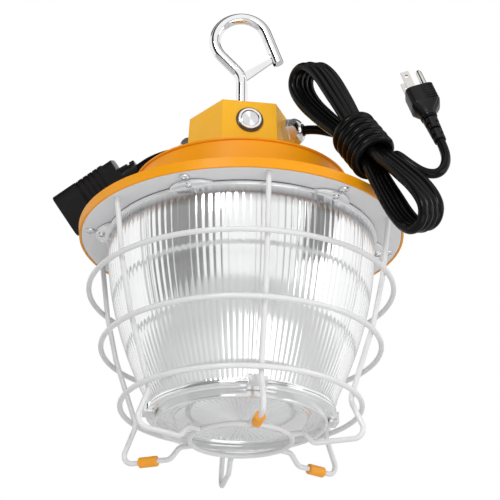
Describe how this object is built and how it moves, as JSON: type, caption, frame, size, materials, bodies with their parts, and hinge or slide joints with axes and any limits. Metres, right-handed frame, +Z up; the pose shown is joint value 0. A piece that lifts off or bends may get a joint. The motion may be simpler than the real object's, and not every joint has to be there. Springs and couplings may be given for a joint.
{
  "type": "hanging work light",
  "caption": "Hanging LED work light: spun bell housing, wiring box with button and snap hook, clear fluted bucket lens in a wire guard, coiled mains lead with plug, short outlet lead.",
  "frame": {"origin": "on the lamp's axis, at the height of the three sleeved feet the guard stands on", "axes": "+Z up along the lamp's axis to the hook, -Y to the front, where the push button is, +X to the side the mains cord leaves"},
  "size_m": [0.2823, 0.2785, 0.3801],
  "materials": {
    "housing_paint": "satin",
    "white_paint": "satin",
    "cage_paint": "gloss",
    "sleeve_orange": "matte",
    "clear_lens": "gloss",
    "clear_cap": "gloss",
    "white_plastic": "gloss",
    "heat_spreader": "satin",
    "board": "matte",
    "chip": "matte",
    "driver": "satin",
    "terminal": "matte",
    "inner_wire": "gloss",
    "chrome": "polished",
    "nickel": "polished",
    "steel": "satin",
    "black_rubber": "matte",
    "grey_rubber": "matte",
    "cord_black": "satin",
    "black_plastic": "gloss",
    "contact": "satin"
  },
  "bodies": {
    "housing": {"bell_housing": "housing_paint", "box_screws": "steel", "button_bezel": "chrome", "button_nut": "steel", "button_seal": "black_rubber", "cap_clips": "white_plastic", "cap_seal": "grey_rubber", "cord_hank": "cord_black", "cord_lead": "cord_black", "cord_tail": "cord_black", "driver_module": "driver", "foot_sleeves": "sleeve_orange", "gland_bodies": "nickel", "gland_locknuts": "nickel", "gland_nuts": "nickel", "gland_seals": "black_rubber", "guard_plate": "white_paint", "guard_ring_centre": "cage_paint", "guard_ring_lower": "cage_paint", "guard_ring_middle": "cage_paint", "guard_ring_upper": "cage_paint", "guard_wire_1": "cage_paint", "guard_wire_2": "cage_paint", "guard_wire_3": "cage_paint", "guard_wire_4": "cage_paint", "guard_wire_5": "cage_paint", "guard_wire_6": "cage_paint", "heat_spreader": "heat_spreader", "hook_bushing": "chrome", "inner_leads": "inner_wire", "lens_bucket": "clear_lens", "lens_cap": "clear_cap", "lens_gasket": "grey_rubber", "lens_screws": "steel", "lid_screws": "steel", "light_board": "board", "light_chips": "chip", "outlet_lead": "cord_black", "plate_screws": "steel", "plug_blades": "nickel", "plug_body": "black_plastic", "plug_ground_pin": "nickel", "rim_seal": "grey_rubber", "socket_body": "black_plastic", "socket_contacts": "contact", "switch_block": "black_plastic", "terminal_block": "terminal", "top_lid": "housing_paint", "wiring_box": "housing_paint"},
    "hook": {"hook_rod": "chrome", "hook_collar": "chrome", "hook_nut": "steel", "gate_pin": "steel", "gate_spring": "steel"},
    "gate": {"hook_gate": "chrome"},
    "button": {"button_cap": "chrome"}
  },
  "joints": [
    {"name": "hook_swivel", "type": "hinge", "parent": "housing", "child": "hook", "pos_m": [0, 0, 0.28], "axis": [0, 0, 1], "continuous": true},
    {"name": "gate_hinge", "type": "hinge", "parent": "hook", "child": "gate", "pos_m": [0.00089, -0.00015, 0.3191], "axis": [-0.165, -0.9863, 0], "range_deg": [0, 45], "stiffness_Nm_per_rad": 0.02, "springref_deg": -17.19},
    {"name": "button_press", "type": "slide", "parent": "housing", "child": "button", "axis": [0, 0.999, -0.0436], "range_m": [0, 0.002], "stiffness_N_per_m": 500, "springref_m": -0.001}
  ]
}
